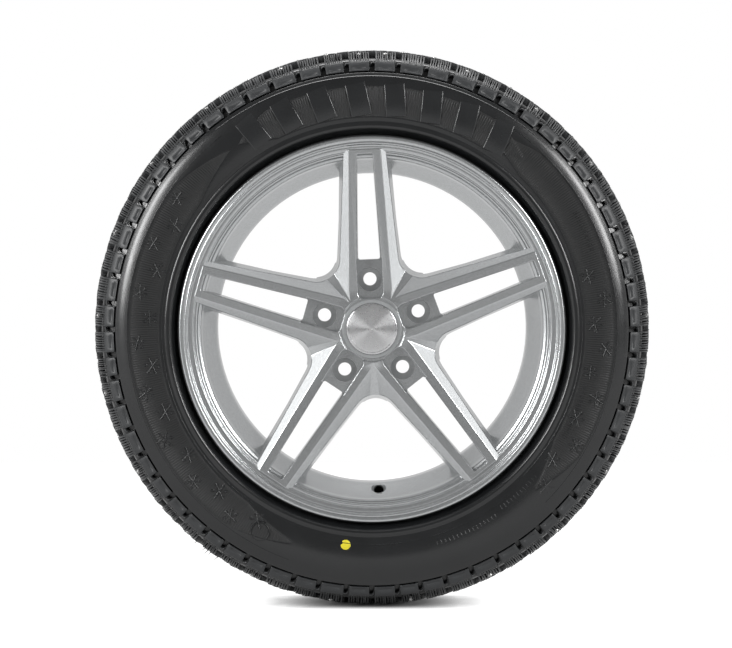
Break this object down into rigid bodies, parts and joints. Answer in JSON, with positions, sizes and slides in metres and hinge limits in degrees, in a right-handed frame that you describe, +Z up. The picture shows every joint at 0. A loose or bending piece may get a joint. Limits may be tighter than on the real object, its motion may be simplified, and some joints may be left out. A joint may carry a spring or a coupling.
{
  "type": "car wheel with studded winter tyre",
  "caption": "Studded winter tyre with directional tread, mounted on a silver alloy wheel with split spokes, a stepped lip and a bright centre cap.",
  "frame": {"origin": "centre of the wheel, on the axle and half way between the two sides of the tyre", "axes": "+Y along the axle towards the car, the outer face of the wheel looks towards -Y, +Z up"},
  "size_m": [0.6314, 0.205, 0.6314],
  "materials": {
    "tyre_rubber": "matt black moulded rubber",
    "stud_steel": "bare steel",
    "silver_paint": "silver painted cast alloy",
    "cap_bright": "bright silver moulding"
  },
  "bodies": {
    "root": {"tyre": "tyre_rubber", "studs": "stud_steel", "alloy_rim": "silver_paint", "centre_cap": "cap_bright"}
  },
  "joints": []
}
